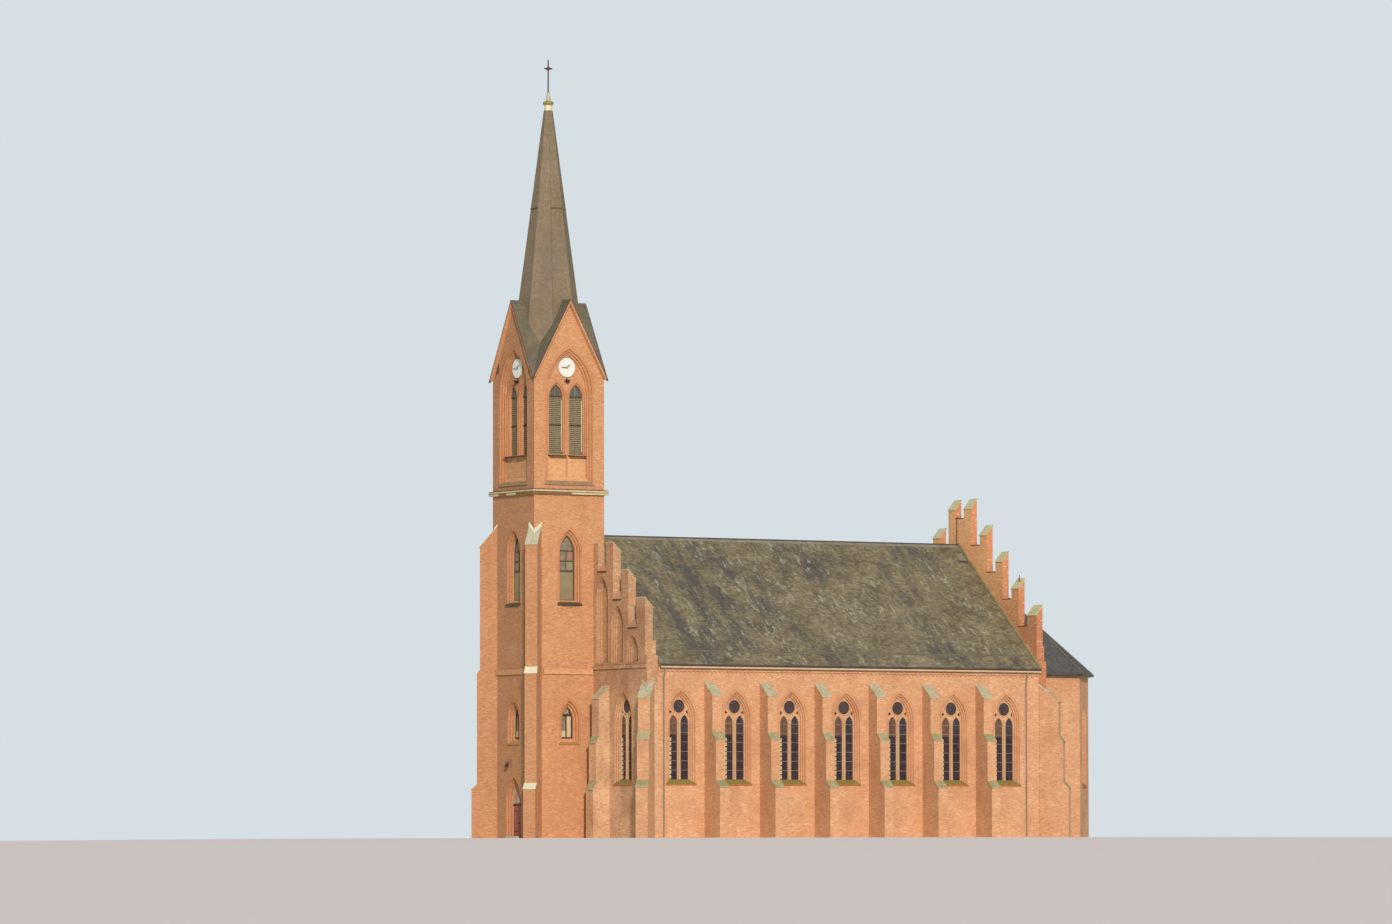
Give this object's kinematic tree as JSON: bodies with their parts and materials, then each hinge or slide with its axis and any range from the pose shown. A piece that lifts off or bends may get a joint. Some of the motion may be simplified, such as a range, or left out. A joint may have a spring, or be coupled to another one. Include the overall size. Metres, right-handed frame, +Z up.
{
  "type": "half-size scale model of a church building",
  "caption": "Neo-Gothic brick church at half size: square west tower with tall spire and clocks, steep slate nave, low chancel with faceted apse.",
  "frame": {"origin": "middle of the footprint on the ground", "axes": "+X from the tower towards the apse, +Y towards the north side, +Z up"},
  "size_m": [28.2048, 13.7, 31.26],
  "materials": {
    "brick": "rough fired brick with pale mortar",
    "pale_stone": "dressed pale stone, weathered",
    "slate": "roof slate in courses",
    "spire_slate": "small slates, warm brown",
    "lead": "dull pale sheet",
    "ironwork": "dark paint",
    "door_wood": "reddish-brown boards",
    "window_glass": "dark leaded glass",
    "louvres": "olive-grey weathered slats",
    "clock_face": "off-white enamel",
    "floor_stone": "worn paving stone"
  },
  "bodies": {
    "church": {"tower_wall_south": "brick", "tower_wall_north": "brick", "tower_wall_west": "brick", "tower_wall_east": "brick", "door_jamb_north": "brick", "door_jamb_south": "brick", "tower_buttress_southwest": "brick", "tower_buttress_northwest": "brick", "string_course": "pale_stone", "belfry_wall_south": "brick", "belfry_wall_north": "brick", "belfry_wall_west": "brick", "belfry_wall_east": "brick", "belfry_louvres": "louvres", "tower_glass": "window_glass", "gable_roof": "slate", "spire": "spire_slate", "spire_collar": "lead", "spire_cross": "ironwork", "clock_dial_south": "clock_face", "clock_dial_north": "clock_face", "clock_dial_west": "clock_face", "clock_dial_east": "clock_face", "nave_wall_south": "brick", "nave_wall_north": "brick", "nave_roof_south": "slate", "nave_roof_north": "slate", "nave_glass_south": "window_glass", "nave_glass_north": "window_glass", "west_front_south": "brick", "west_front_north": "brick", "east_gable": "brick", "nave_buttress_southwest": "brick", "nave_buttress_northwest": "brick", "nave_buttress_southeast": "brick", "nave_buttress_northeast": "brick", "chancel_wall_south": "brick", "chancel_wall_north": "brick", "apse_wall_southeast": "brick", "apse_wall_east": "brick", "apse_wall_northeast": "brick", "chancel_roof": "slate", "chancel_glass": "window_glass", "church_floor": "floor_stone"},
    "door_north": {"door_leaf_north": "door_wood"},
    "door_south": {"door_leaf_south": "door_wood"},
    "clock_south_minute": {"minute_hand_south": "ironwork"},
    "clock_south_hour": {"hour_hand_south": "ironwork"},
    "clock_west_minute": {"minute_hand_west": "ironwork"},
    "clock_west_hour": {"hour_hand_west": "ironwork"}
  },
  "joints": [
    {"name": "door_north_hinge", "type": "hinge", "parent": "church", "child": "door_north", "pos_m": [-13.0225, 0.4825, 0.66], "axis": [0, 0, 1], "range_deg": [0, 90]},
    {"name": "door_south_hinge", "type": "hinge", "parent": "church", "child": "door_south", "pos_m": [-13.0225, -0.4825, 0.66], "axis": [0, 0, -1], "range_deg": [0, 90]},
    {"name": "minute_hand_south_turn", "type": "hinge", "parent": "church", "child": "clock_south_minute", "pos_m": [-11.7225, -1.415, 18.75], "axis": [0, 1, 0], "continuous": true},
    {"name": "hour_hand_south_turn", "type": "hinge", "parent": "church", "child": "clock_south_hour", "pos_m": [-11.7225, -1.415, 18.75], "axis": [0, 1, 0], "continuous": true},
    {"name": "minute_hand_west_turn", "type": "hinge", "parent": "church", "child": "clock_west_minute", "pos_m": [-13.1375, 0, 18.75], "axis": [1, 0, 0], "continuous": true},
    {"name": "hour_hand_west_turn", "type": "hinge", "parent": "church", "child": "clock_west_hour", "pos_m": [-13.1375, 0, 18.75], "axis": [1, 0, 0], "continuous": true}
  ],
  "couplings": [
    {"joint": "hour_hand_south_turn", "follows": "minute_hand_south_turn", "ratio": 0.083333},
    {"joint": "minute_hand_west_turn", "follows": "minute_hand_south_turn", "ratio": 1},
    {"joint": "hour_hand_west_turn", "follows": "minute_hand_south_turn", "ratio": 0.083333}
  ]
}
